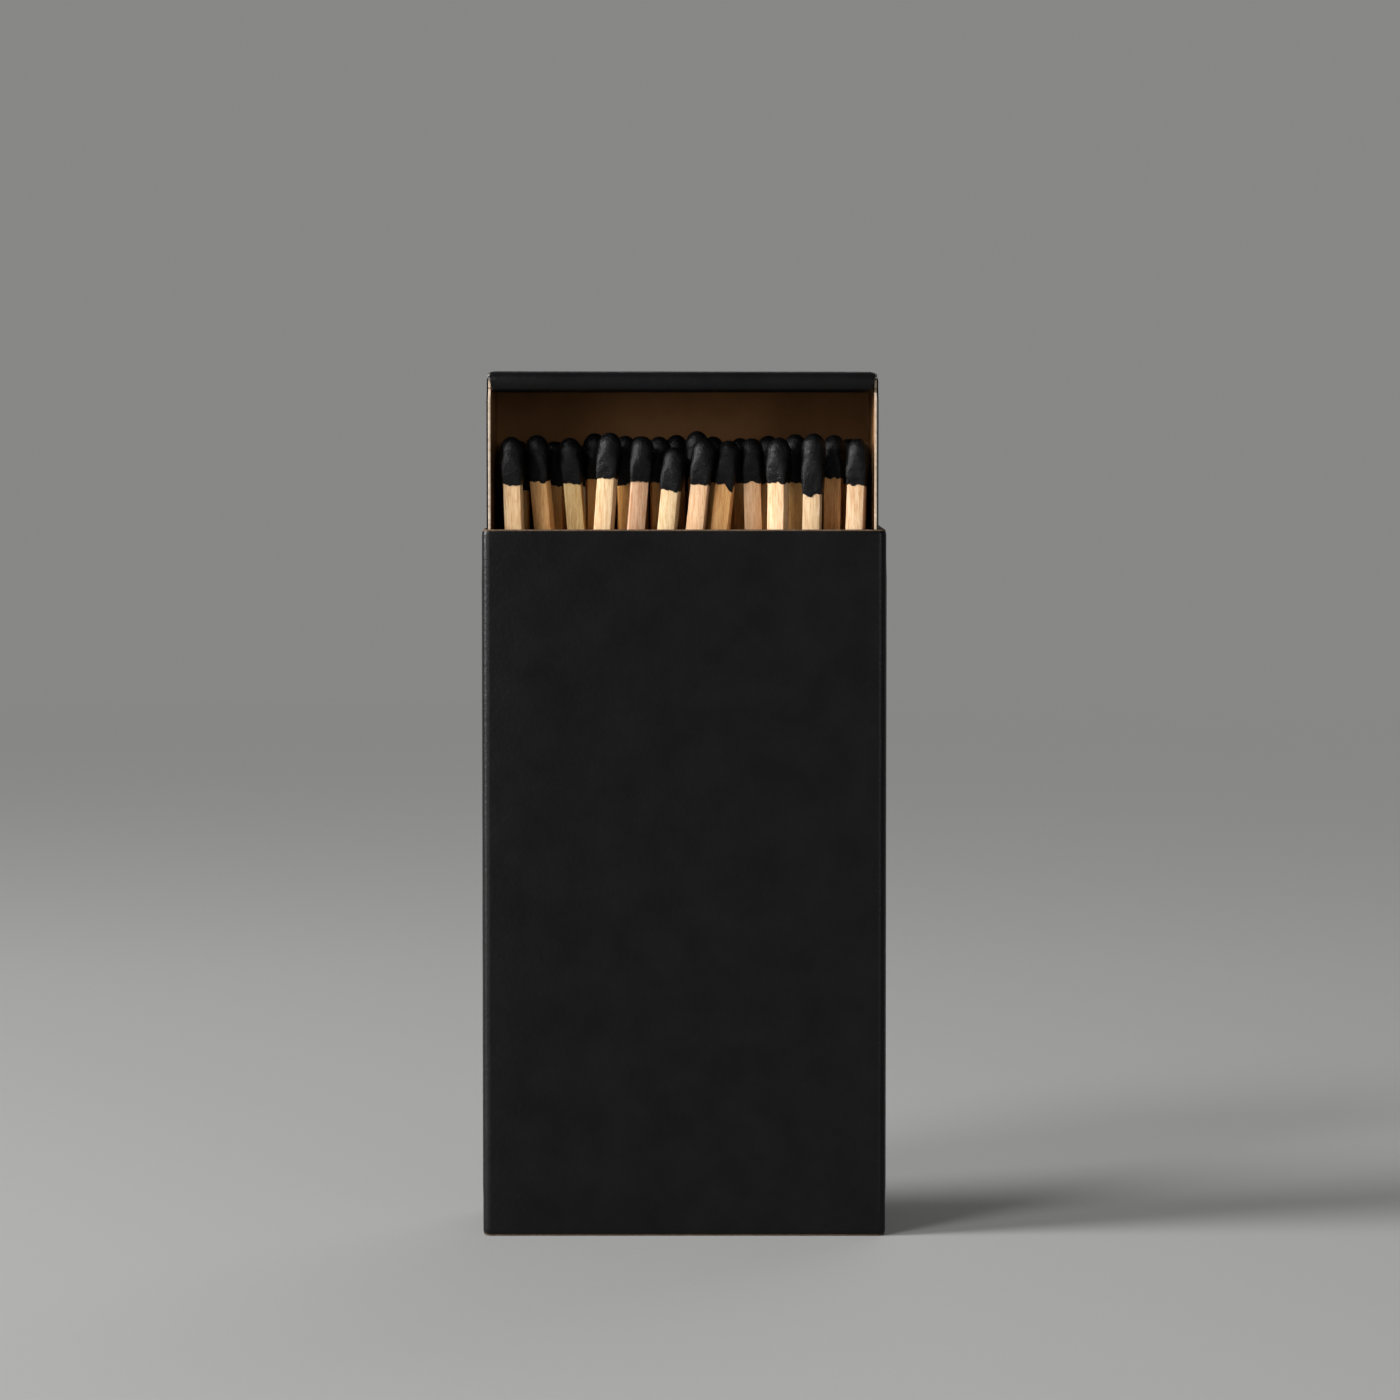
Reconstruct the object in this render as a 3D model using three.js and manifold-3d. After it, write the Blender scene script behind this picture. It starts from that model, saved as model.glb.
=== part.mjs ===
// A black card matchbox standing on its end, with the tray drawn up and full of long matches.
// Millimetres, +Z up, the front towards -Y, the origin under the middle of the sleeve.
import * as THREE from "three";
import { mergeVertices } from "three/addons/utils/BufferGeometryUtils.js";
import Module from "manifold-3d";

const wasm = await Module();
wasm.setup();

// The matches
const splint = 2.15; // side of the square stick
const matchLength = 76; // from foot to tip, a three inch match
const headLength = 5.8;
const headSwell = 0.45; // how far the head stands out past each side of the stick
const headSkin = 0.08; // of coating over the stick's edges
const tipCover = 1.9; // of coating over the end of the wood
const headGap = 0.25; // least room between two heads side by side
const layerGap = 0.4; // least room between two heads, one behind the other
const footGap = 0.3; // under the foot of each match

// How the matches fill the tray
const sideRoom = 0.46; // left over at each side of the row
const backRoom = 2.1; // left over behind the last layer
const frontInset = 1.85; // from the tray's open face to the middle of the first layer
const headRoom = 5.5; // above the tips

// The card
const sleeveCard = 0.4;
const trayCard = 0.5;
const sleeveFold = 1.05; // outer radius of the sleeve's folds
const trayFold = 0.8; // outer radius of the tray's folds
const rimThickness = 2.6; // of the end wall, rolled over on itself in a full round
const slideClearance = 0.2; // between tray and sleeve, all round
const sleeveOverhang = 0.4; // of the sleeve past each end of the shut tray
const glueBite = 0.05; // depth that two glued plies share

// Details of the folding
const seamFlap = 20; // width of the sleeve's glued flap
const seamSetback = 0.35; // of the outer ply's cut edge from the back of the sleeve
const glueFlap = 13; // length of the tray's corner flaps
const flapSetback = 0.8; // of a corner flap from the tray's floor
const cornerClip = 2.4; // cut off the side walls' front corners, to let the rim roll over
const rimEndInset = 0.15; // of the rim's ends from the outside of the side walls
const rimEndGap = 0.2; // between the rolled ply's ends and the side walls

// The striking strips
const strikerThickness = 0.12;
const strikerMargin = 1.2; // to the folds at each long edge
const strikerEndMargin = 3; // to the sleeve's cut edges

// How far the tray is drawn up, from shut
const drawnUp = 19.9;

// The matches that the front shows, left to right. head and foot are places across the tray in
// head pitches from its middle, layer and footLayer are depths in layers, twist is in degrees.
const frontMatches = [
  { head: -6.4, foot: -5.55, layer: 1, footLayer: 1, twist: -7, longer: 0, dip: 0.2 },
  { head: -5.45, foot: -3.33, layer: 2, footLayer: 2, twist: -14, longer: 0.4, dip: 0 },
  { head: -4.21, foot: -2.36, layer: 2, footLayer: 2, twist: -6, longer: 0, dip: -0.1 },
  { head: -2.76, foot: -4.3, layer: 1, footLayer: 1, twist: -12, longer: 0.6, dip: -0.1 },
  { head: -1.55, foot: -3.39, layer: 1, footLayer: 1, twist: 6, longer: 0.2, dip: -0.1 },
  { head: -0.36, foot: -2.48, layer: 1, footLayer: 1, twist: -11, longer: -1.1, dip: -0.4 },
  { head: 0.76, foot: -1.58, layer: 1, footLayer: 1, twist: -8, longer: 0.1, dip: 0 },
  { head: 1.67, foot: -0.67, layer: 1.35, footLayer: 1, twist: -10, longer: -0.2, dip: -0.2 },
  { head: 2.61, foot: 3.3, layer: 1.75, footLayer: 1.85, twist: -4, longer: -0.2, dip: -0.3 },
  { head: 3.61, foot: 3.33, layer: 1, footLayer: 1, twist: -19, longer: -0.1, dip: -0.1 },
  { head: 4.91, foot: 4.52, layer: 1, footLayer: 1, twist: -9, longer: 0.4, dip: 1.7 },
  { head: 6.58, foot: 5.82, layer: 1, footLayer: 1, twist: -12, longer: -0.2, dip: 0.1 },
];

// The rest of the second layer and the third, seen in the gaps of the first.
const secondLayer = [
  { head: -2.15, foot: -1.51, longer: 0.1 },
  { head: -0.88, foot: -0.67, longer: 0 },
  { head: 0.55, foot: 0.55, longer: 0.7 },
  { head: 4.24, foot: 4.21, longer: 0.3 },
  { head: 5.7, foot: 5.5, longer: 0.2 },
];
const thirdLayer = [
  { head: -6.15, longer: -1.1 },
  { head: -4.85, longer: -0.6 },
  { head: -3.33, longer: 0.4 },
  { head: -1.64, longer: 0 },
  { head: -0.24, longer: 0.2 },
  { head: 1.15, longer: 0 },
  { head: 2.18, longer: -0.2 },
  { head: 3.24, longer: 0.1 },
  { head: 4.88, longer: -0.2 },
  { head: 6.3, longer: -0.3 },
];
const hiddenLayers = [10, 10, 9]; // matches in each layer behind those
const hiddenShort = 0.9; // how much lower their tips stand
const layersDeep = 3 + hiddenLayers.length;
const farthestHead = Math.max(...frontMatches.map((place) => Math.abs(place.head)));

const headWidth = splint + 2 * headSwell;
const headPitch = headWidth + headGap;
const layerPitch = headWidth + layerGap;

const innerWidth = 2 * (farthestHead * headPitch + headWidth / 2 + sideRoom);
const innerDepth = layersDeep * layerPitch + backRoom;
const innerLength = matchLength + footGap + headRoom;

const trayWidth = innerWidth + 2 * trayCard;
const trayDepth = innerDepth + trayCard;
const trayLength = innerLength + 2 * rimThickness;

const sleeveWidth = trayWidth + 2 * slideClearance + 3 * sleeveCard;
const sleeveDepth = trayDepth + 2 * slideClearance + 2 * sleeveCard;
const sleeveHeight = trayLength + 2 * sleeveOverhang;

const foldSteps = 5; // facets in a quarter turn of a fold
const quarter = Math.PI / 2;

const blackCard = new THREE.MeshStandardMaterial({ color: 0x1b1b1c, roughness: 0.75, metalness: 0 });
const trayBoard = new THREE.MeshStandardMaterial({ color: 0x20190f, roughness: 0.85, metalness: 0 });
const strikerGrit = new THREE.MeshStandardMaterial({ color: 0x2a2523, roughness: 0.95, metalness: 0 });
const matchWood = new THREE.MeshStandardMaterial({ color: 0xdcb98c, roughness: 0.65, metalness: 0 });

// A closed geometry as a solid that can be joined or cut.
function toSolid(geometry) {
  const bare = geometry.clone();
  bare.deleteAttribute("normal");
  bare.deleteAttribute("uv");
  const merged = mergeVertices(bare, 1e-4);
  return new wasm.Manifold(
    new wasm.Mesh({
      numProp: 3,
      vertProperties: merged.getAttribute("position").array,
      triVerts: new Uint32Array(merged.index.array),
    }),
  );
}

function toGeometry(solid) {
  const mesh = solid.getMesh();
  const geometry = new THREE.BufferGeometry();
  geometry.setAttribute("position", new THREE.BufferAttribute(mesh.vertProperties, 3));
  geometry.setIndex(new THREE.BufferAttribute(mesh.triVerts, 1));
  geometry.computeVertexNormals();
  return geometry;
}

function named(name, geometry, material) {
  const mesh = new THREE.Mesh(geometry, material);
  mesh.name = name;
  return mesh;
}

// A shape drawn in two axes and drawn out along the third, centred on it.
const sweepAxes = {
  x: [new THREE.Vector3(0, 1, 0), new THREE.Vector3(0, 0, 1), new THREE.Vector3(1, 0, 0)],
  y: [new THREE.Vector3(1, 0, 0), new THREE.Vector3(0, 0, 1), new THREE.Vector3(0, -1, 0)],
  z: [new THREE.Vector3(1, 0, 0), new THREE.Vector3(0, 1, 0), new THREE.Vector3(0, 0, 1)],
};

function sweep(shape, length, along) {
  const geometry = new THREE.ExtrudeGeometry(shape, {
    depth: length,
    bevelEnabled: false,
    curveSegments: foldSteps,
  });
  geometry.translate(0, 0, -length / 2);
  return geometry.applyMatrix4(new THREE.Matrix4().makeBasis(...sweepAxes[along]));
}

function polygon(points) {
  return new THREE.Shape(points.map(([u, v]) => new THREE.Vector2(u, v)));
}

// The sleeve's section: front, left and back in one ply, the right side in two, with the
// back's flap glued inside it and its own cut edge left raw at the back corner.
function sleeveSection() {
  const right = sleeveWidth / 2;
  const left = -right;
  const back = sleeveDepth / 2;
  const front = -back;
  const outer = sleeveFold;
  const inner = sleeveFold - sleeveCard;
  const flapFace = right - sleeveCard;

  const section = new THREE.Shape();
  section.moveTo(left + outer, front);
  section.lineTo(right - outer, front);
  section.absarc(right - outer, front + outer, outer, -quarter, 0, false);
  section.lineTo(right, back - seamSetback);
  section.lineTo(flapFace, back - seamSetback);
  section.lineTo(flapFace, back - outer);
  section.absarc(flapFace - outer, back - outer, outer, 0, quarter, false);
  section.lineTo(left + outer, back);
  section.absarc(left + outer, back - outer, outer, quarter, 2 * quarter, false);
  section.lineTo(left, front + outer);
  section.absarc(left + outer, front + outer, outer, 2 * quarter, 3 * quarter, false);

  const hollow = new THREE.Path();
  hollow.moveTo(left + outer, front + sleeveCard);
  hollow.lineTo(right - outer, front + sleeveCard);
  hollow.absarc(right - outer, front + outer, inner, -quarter, 0, false);
  hollow.lineTo(flapFace, back - seamFlap);
  hollow.lineTo(flapFace - sleeveCard, back - seamFlap);
  hollow.lineTo(flapFace - sleeveCard, back - outer);
  hollow.absarc(flapFace - outer, back - outer, inner, 0, quarter, false);
  hollow.lineTo(left + outer, back - sleeveCard);
  hollow.absarc(left + outer, back - outer, inner, quarter, 2 * quarter, false);
  hollow.lineTo(left + sleeveCard, front + outer);
  hollow.absarc(left + outer, front + outer, inner, 2 * quarter, 3 * quarter, false);
  section.holes.push(hollow);
  return section;
}

function makeSleeve() {
  const sleeve = named("sleeve", sweep(sleeveSection(), sleeveHeight, "z"), blackCard);
  sleeve.position.z = sleeveHeight / 2;
  return sleeve;
}

// One printed striking strip, flat on a narrow side of the sleeve. side is -1 or 1.
function makeStriker(name, side) {
  const width = sleeveDepth - 2 * (sleeveFold + strikerMargin);
  const height = sleeveHeight - 2 * strikerEndMargin;
  const striker = named(name, new THREE.BoxGeometry(strikerThickness, width, height), strikerGrit);
  striker.position.set((side * (sleeveWidth + strikerThickness)) / 2, 0, sleeveHeight / 2);
  return striker;
}

// The tray's long walls and floor, in one fold, open to the front.
function trayChannel(height) {
  const half = trayWidth / 2;
  const back = trayDepth / 2;
  const front = -back;
  const inner = trayFold - trayCard;
  const section = new THREE.Shape();
  section.moveTo(-half, front);
  section.lineTo(-half + trayCard, front);
  section.lineTo(-half + trayCard, back - trayFold);
  section.absarc(-half + trayFold, back - trayFold, inner, 2 * quarter, quarter, true);
  section.lineTo(half - trayFold, back - trayCard);
  section.absarc(half - trayFold, back - trayFold, inner, quarter, 0, true);
  section.lineTo(half - trayCard, front);
  section.lineTo(half, front);
  section.lineTo(half, back - trayFold);
  section.absarc(half - trayFold, back - trayFold, trayFold, 0, quarter, false);
  section.lineTo(-half + trayFold, back);
  section.absarc(-half + trayFold, back - trayFold, trayFold, quarter, 2 * quarter, false);
  return toSolid(sweep(section, height, "z"));
}

// What is clipped off both side walls at the upper front corners.
function cornerClips(wallTop) {
  const front = -trayDepth / 2;
  const room = 1;
  const clip = polygon([
    [front - room, wallTop + room],
    [front - room, wallTop - cornerClip],
    [front, wallTop - cornerClip],
    [front + cornerClip + room, wallTop + room],
  ]);
  return toSolid(sweep(clip, trayWidth + 2 * room, "x"));
}

// The upper end wall: out from the floor in one ply, round over the front and back inside.
function rolledWall(top) {
  const back = trayDepth / 2;
  const roll = rimThickness / 2;
  const nose = -back + roll;
  const hidden = 2 * trayFold; // lap of the wall on the channel's floor
  const section = new THREE.Shape();
  section.moveTo(back, top - hidden);
  section.lineTo(back, top - trayFold);
  section.absarc(back - trayFold, top - trayFold, trayFold, 0, quarter, false);
  section.lineTo(nose, top);
  section.absarc(nose, top - roll, roll, quarter, 3 * quarter, false);
  section.lineTo(back - trayCard / 2, top - rimThickness);
  section.lineTo(back - trayCard / 2, top - rimThickness + trayCard);
  section.lineTo(nose, top - rimThickness + trayCard);
  section.absarc(nose, top - roll, roll - trayCard, 3 * quarter, quarter, true);
  section.lineTo(back - trayFold, top - trayCard);
  section.absarc(back - trayFold, top - trayFold, trayFold - trayCard, quarter, 0, true);
  section.lineTo(back - trayCard, top - hidden);
  const wall = toSolid(sweep(section, trayWidth, "x"));
  return wall.intersect(rimOutline(top)).intersect(rimTaper(top));
}

// Seen from above, the end wall has round back corners, as the floor under it does.
function rimOutline(top) {
  const half = trayWidth / 2 - rimEndInset;
  const back = trayDepth / 2;
  const room = 1;
  const outline = new THREE.Shape();
  outline.moveTo(-half, -back - room);
  outline.lineTo(half, -back - room);
  outline.lineTo(half, back - trayFold);
  outline.absarc(half - trayFold, back - trayFold, trayFold, 0, quarter, false);
  outline.lineTo(-half + trayFold, back);
  outline.absarc(-half + trayFold, back - trayFold, trayFold, quarter, 2 * quarter, false);
  const prism = sweep(outline, 4 * rimThickness, "z");
  prism.translate(0, 0, top);
  return toSolid(prism);
}

// Seen from the front, the roll's ends draw in from the outer ply to clear the side walls.
function rimTaper(top) {
  const wide = trayWidth / 2 - rimEndInset;
  const narrow = trayWidth / 2 - trayCard - rimEndGap;
  const room = 1;
  const taper = polygon([
    [-narrow, top - rimThickness - room],
    [narrow, top - rimThickness - room],
    [narrow, top - rimThickness / 2 - trayCard],
    [wide, top - trayCard],
    [wide, top + room],
    [-wide, top + room],
    [-wide, top - trayCard],
    [-narrow, top - rimThickness / 2 - trayCard],
  ]);
  return toSolid(sweep(taper, trayDepth + 2 * room, "y"));
}

// The flap that a side wall turns in under the end wall's outer ply. side is -1 or 1.
function cornerFlap(side, top) {
  const half = trayWidth / 2;
  const face = top - trayCard + glueBite;
  const lap = trayFold; // of the flap's root on the side wall below
  const inner = trayFold - trayCard;
  const section = new THREE.Shape();
  section.moveTo(half, face - trayFold - lap);
  section.lineTo(half, face - trayFold);
  section.absarc(half - trayFold, face - trayFold, trayFold, 0, quarter, false);
  section.lineTo(half - glueFlap, face);
  section.lineTo(half - glueFlap, face - trayCard);
  section.lineTo(half - trayFold, face - trayCard);
  section.absarc(half - trayFold, face - trayFold, inner, quarter, 0, true);
  section.lineTo(half - trayCard, face - trayFold - lap);
  const front = -trayDepth / 2 + rimThickness / 2;
  const back = trayDepth / 2 - trayCard - flapSetback;
  const flap = sweep(section, back - front, "y");
  if (side < 0) flap.rotateZ(Math.PI);
  flap.translate(0, (front + back) / 2, 0);
  return toSolid(flap);
}

function trayEnd(top) {
  return rolledWall(top).add(cornerFlap(1, top)).add(cornerFlap(-1, top));
}

// The whole tray in one folded sheet, centred on its own length.
function makeTray() {
  const top = trayLength / 2;
  const wallTop = top - trayCard + glueBite - trayFold;
  const clips = cornerClips(wallTop);
  const end = trayEnd(top);
  const walls = trayChannel(2 * wallTop)
    .subtract(clips)
    .subtract(clips.rotate([0, 180, 0]));
  const sheet = walls.add(end).add(end.rotate([0, 180, 0]));
  return named("tray", toGeometry(sheet), trayBoard);
}

// A dipped head about the +Z axis, from its lower end at z = 0 to its tip. It is square where it
// leaves the stick and round at the tip.
function headGeometry(length) {
  const radius = headWidth / 2;
  const outline = [
    new THREE.Vector2(0, 0),
    new THREE.Vector2(splint / 2 + headSkin, 0),
    new THREE.Vector2(radius * 0.93, length * 0.35),
    new THREE.Vector2(radius, length - tipCover),
    new THREE.Vector2(radius * 0.84, length - tipCover * 0.42),
    new THREE.Vector2(radius * 0.46, length - tipCover * 0.09),
    new THREE.Vector2(0, length),
  ];
  const head = new THREE.LatheGeometry(outline, 8).rotateX(quarter);
  const corner = (splint / 2 + headSkin) * Math.SQRT2;
  const roundAbove = length - tipCover * 0.9;
  const points = head.getAttribute("position");
  for (let i = 0; i < points.count; i += 1) {
    const reach = Math.hypot(points.getX(i), points.getY(i));
    const diagonal = Math.abs(points.getX(i) * points.getY(i)) > (reach * reach) / 4;
    if (reach === 0 || !diagonal || points.getZ(i) > roundAbove) continue;
    const wider = Math.max(1, corner / reach);
    points.setXY(i, points.getX(i) * wider, points.getY(i) * wider);
  }
  return head;
}

// One match, standing on its foot at the origin. longer and dip add to its own lengths.
function matchGeometry(longer, dip) {
  const headSpan = headLength + dip;
  const wood = matchLength + longer - tipCover;
  const stick = new THREE.BoxGeometry(splint, splint, wood).translate(0, 0, wood / 2);
  const head = headGeometry(headSpan).translate(0, 0, matchLength + longer - headSpan);
  return toGeometry(toSolid(stick).add(toSolid(head)));
}

// A repeatable number from -1 to 1 that looks unplanned.
function wobble(seed) {
  const wave = Math.sin(seed * 12.9898) * 43758.5453;
  return 2 * (wave - Math.floor(wave)) - 1;
}

function layerOf(rows, layer) {
  return rows.map((row, i) => ({
    foot: row.head + 0.14 * wobble(layer * 40 + i),
    twist: 12 * wobble(layer * 70 + i),
    dip: 0.4 * wobble(layer * 90 + i),
    layer,
    footLayer: layer,
    ...row,
  }));
}

function hiddenLayer(count, layer) {
  const reach = farthestHead - 0.33;
  const rows = [];
  for (let i = 0; i < count; i += 1) {
    const even = -reach + (2 * reach * i) / (count - 1);
    const longer = 0.35 * wobble(layer * 30 + i) - hiddenShort;
    rows.push({ head: even + 0.12 * wobble(layer * 10 + i), longer });
  }
  return layerOf(rows, layer);
}

// Stands one match between its foot and its head, from the tray's middle.
function placeMatch(mesh, place) {
  const depthOf = (layer) => -trayDepth / 2 + frontInset + (layer - 1) * layerPitch;
  const across = (place.head - place.foot) * headPitch;
  const along = depthOf(place.layer) - depthOf(place.footLayer);
  const reach = matchLength + place.longer - headLength / 2;
  const tilt = Math.hypot(across, along) / reach;
  const rise = Math.sqrt(reach ** 2 - across ** 2 - along ** 2);
  const lift = footGap + tilt * splint * Math.SQRT1_2;
  mesh.position.set(place.foot * headPitch, depthOf(place.footLayer), -innerLength / 2 + lift);
  const lean = new THREE.Quaternion().setFromUnitVectors(
    new THREE.Vector3(0, 0, 1),
    new THREE.Vector3(across, along, rise).normalize(),
  );
  const twist = new THREE.Quaternion().setFromAxisAngle(
    new THREE.Vector3(0, 0, 1),
    THREE.MathUtils.degToRad(place.twist),
  );
  mesh.quaternion.copy(lean.multiply(twist));
}

function makeMatches() {
  const places = [
    ...frontMatches,
    ...layerOf(secondLayer, 2),
    ...layerOf(thirdLayer, 3),
    ...hiddenLayers.flatMap((count, i) => hiddenLayer(count, i + 4)),
  ];
  const matches = new THREE.Group();
  places.forEach((place, i) => {
    const name = "match_" + String(i + 1).padStart(2, "0");
    const match = named(name, matchGeometry(place.longer, place.dip), matchWood);
    placeMatch(match, place);
    matches.add(match);
  });
  return matches;
}

const filledTray = new THREE.Group();
filledTray.add(makeTray(), makeMatches());
filledTray.position.set(-sleeveCard / 2, 0, sleeveOverhang + drawnUp + trayLength / 2);

const matchbox = new THREE.Group();
matchbox.add(makeSleeve(), makeStriker("striker_left", -1), makeStriker("striker_right", 1), filledTray);

export default matchbox;
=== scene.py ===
# A black card matchbox standing on its end, with the tray drawn up and full of long matches.
import math
import random

import bmesh
import bpy
from mathutils import Matrix, Vector, noise


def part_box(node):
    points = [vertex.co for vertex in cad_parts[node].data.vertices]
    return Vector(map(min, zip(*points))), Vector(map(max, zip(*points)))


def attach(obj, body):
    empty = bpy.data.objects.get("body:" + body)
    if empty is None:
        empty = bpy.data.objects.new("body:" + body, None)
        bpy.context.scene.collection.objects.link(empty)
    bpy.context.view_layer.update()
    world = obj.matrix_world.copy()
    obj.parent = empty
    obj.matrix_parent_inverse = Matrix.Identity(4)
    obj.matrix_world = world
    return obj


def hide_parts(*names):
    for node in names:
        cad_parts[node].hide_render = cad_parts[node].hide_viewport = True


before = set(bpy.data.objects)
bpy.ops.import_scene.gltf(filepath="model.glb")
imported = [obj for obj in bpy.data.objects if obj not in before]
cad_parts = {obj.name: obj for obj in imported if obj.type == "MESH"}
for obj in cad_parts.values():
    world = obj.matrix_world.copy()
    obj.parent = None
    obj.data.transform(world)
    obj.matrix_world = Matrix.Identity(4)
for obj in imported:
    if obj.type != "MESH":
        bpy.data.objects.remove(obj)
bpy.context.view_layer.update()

scene = bpy.context.scene
scene.view_settings.view_transform = "Standard"
print("frame loaded")


# Camera, where the photograph was taken from
shot = {
    "lens": 141.66,
    "sensor": 36,
    "place": (0.00196, -0.69225, 0.1033),
    "tiltDown": 3.08,
    "clip": (0.01, 30),
}

camera = bpy.data.objects.new("camera", bpy.data.cameras.new("camera"))
camera.data.lens = shot["lens"]
camera.data.sensor_width = shot["sensor"]
camera.data.clip_start, camera.data.clip_end = shot["clip"]
camera.location = shot["place"]
camera.rotation_euler = (math.radians(90 - shot["tiltDown"]), 0, 0)
scene.collection.objects.link(camera)
scene.camera = camera
print("camera set")


# Small helpers for node materials. Patterns are laid out in millimetres.
def addNode(tree, kind, settings=None, **inputs):
    node = tree.nodes.new(kind)
    for key, value in (settings or {}).items():
        setattr(node, key, value)
    for key, value in inputs.items():
        socket = node.inputs[key.replace("_", " ")]
        if isinstance(value, bpy.types.NodeSocket):
            tree.links.new(value, socket)
        else:
            socket.default_value = value
    return node


def startMaterial(name, roughness, specular):
    material = bpy.data.materials.new(name)
    material.use_nodes = True
    tree = material.node_tree
    shader = tree.nodes["Principled BSDF"]
    shader.inputs["Roughness"].default_value = roughness
    shader.inputs["Specular IOR Level"].default_value = specular
    return material, tree, shader


def placeIn(tree, stretch=(1, 1, 1)):
    coords = addNode(tree, "ShaderNodeTexCoord")
    scale = tuple(1000 * s for s in stretch)
    mapping = addNode(tree, "ShaderNodeMapping", Vector=coords.outputs["Object"], Scale=scale)
    return mapping.outputs["Vector"]


def grain(tree, place, size, detail=3.0, rough=0.5):
    made = addNode(
        tree, "ShaderNodeTexNoise",
        Vector=place, Scale=1 / size, Detail=detail, Roughness=rough,
    )
    return made.outputs["Fac"]


def remap(tree, value, low, high, newLow=0.0, newHigh=1.0):
    made = addNode(tree, "ShaderNodeMapRange", Value=value)
    ends = {"From Min": low, "From Max": high, "To Min": newLow, "To Max": newHigh}
    for key, number in ends.items():
        made.inputs[key].default_value = number
    return made.outputs["Result"]


def mixColour(tree, factor, first, second, blend="MIX"):
    made = addNode(tree, "ShaderNodeMix", {"data_type": "RGBA", "blend_type": blend})
    for socket, value in ((0, factor), (6, first), (7, second)):
        if isinstance(value, bpy.types.NodeSocket):
            tree.links.new(value, made.inputs[socket])
        elif socket == 0:
            made.inputs[socket].default_value = value
        else:
            made.inputs[socket].default_value = (*value, 1)
    return made.outputs[2]


def combine(tree, first, second, operation="MULTIPLY"):
    made = addNode(tree, "ShaderNodeMath", {"operation": operation})
    for socket, value in ((0, first), (1, second)):
        if isinstance(value, bpy.types.NodeSocket):
            tree.links.new(value, made.inputs[socket])
        else:
            made.inputs[socket].default_value = value
    return made.outputs[0]


def bump(tree, height, depth, under=None):
    made = addNode(tree, "ShaderNodeBump", Height=height, Strength=1.0, Distance=depth / 1000)
    if under is not None:
        tree.links.new(under, made.inputs["Normal"])
    return made.outputs["Normal"]


# Finishes. Sizes and depths are in millimetres.
blackPaper = {
    "dark": (0.0020, 0.0020, 0.0022),
    "light": (0.0034, 0.0034, 0.0036),
    # The worn colour is a lighter grey. It is partly real rubbed card and partly a painted glint
    # where the sleeve's folds meet its ends.
    "wornAndGlint": (0.30, 0.28, 0.26),
    "wornAndGlintFrom": 0.25,
    "wornAndGlintWhollyFrom": 0.75,
    "roughness": 0.33,
    "glossier": 0.02,
    "duller": 0.03,
    "specular": 0.17,
    "cloudSize": 6,
    "leatherSize": 0.55,
    "leatherDepth": 0.045,
    "fibreSize": 0.2,
    "fibreDepth": 0.014,
}


def makeBlackPaper():
    look = blackPaper
    material, tree, shader = startMaterial("black laid card", look["roughness"], look["specular"])
    place = placeIn(tree)
    clouds = grain(tree, place, look["cloudSize"], 4, 0.6)
    leather = grain(tree, place, look["leatherSize"], 4, 0.6)
    fibres = grain(tree, place, look["fibreSize"], 2)
    tone = mixColour(tree, remap(tree, clouds, 0.35, 0.65), look["dark"], look["light"])
    # The wear attribute lightens the card towards the worn colour. This is real rubbing, plus a
    # painted glint at the sleeve's corners.
    wearAndGlint = addNode(tree, "ShaderNodeAttribute", {"attribute_name": "wearAndGlint"}).outputs["Fac"]
    rubbedAndGlinting = combine(tree, wearAndGlint, remap(tree, fibres, 0.3, 0.7))
    scuffedAndGlinting = remap(tree, rubbedAndGlinting, look["wornAndGlintFrom"], look["wornAndGlintWhollyFrom"])
    tree.links.new(mixColour(tree, scuffedAndGlinting, tone, look["wornAndGlint"]), shader.inputs["Base Color"])
    smooth, rough = look["roughness"] - look["glossier"], look["roughness"] + look["duller"]
    tree.links.new(remap(tree, clouds, 0.3, 0.7, smooth, rough), shader.inputs["Roughness"])
    relief = bump(tree, leather, look["leatherDepth"])
    tree.links.new(bump(tree, fibres, look["fibreDepth"], relief), shader.inputs["Normal"])
    return material


brownBoard = {
    "dark": (0.180, 0.081, 0.029),
    "light": (0.240, 0.112, 0.043),
    "flecks": (0.205, 0.108, 0.048),
    "cloudSize": 5,
    "fleckSize": 0.35,
    "fleckStretch": 0.35,
    "fleckShare": 0.5,
    "fleckDepth": 0.012,
    "roughness": 0.85,
    "specular": 0.1,
}


def makeBrownBoard():
    look = brownBoard
    material, tree, shader = startMaterial("brown board", look["roughness"], look["specular"])
    clouds = grain(tree, placeIn(tree), look["cloudSize"], 5, 0.65)
    flecks = grain(tree, placeIn(tree, (1, 1, look["fleckStretch"])), look["fleckSize"], 3, 0.6)
    tone = mixColour(tree, remap(tree, clouds, 0.3, 0.7), look["dark"], look["light"])
    share = remap(tree, flecks, 0.35, 0.75, 0, look["fleckShare"])
    tree.links.new(mixColour(tree, share, tone, look["flecks"]), shader.inputs["Base Color"])
    tree.links.new(bump(tree, flecks, look["fleckDepth"]), shader.inputs["Normal"])
    return material


cutEdge = {
    "roughness": 0.85,
    "specular": 0.2,
    "fibreDepth": 0.03,
    "sleeve": {"light": (0.125, 0.078, 0.045), "dark": (0.045, 0.028, 0.016), "fibreSize": 0.5},
    "tray": {"light": (0.56, 0.46, 0.36), "dark": (0.36, 0.27, 0.19), "fibreSize": 0.8},
}


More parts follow.
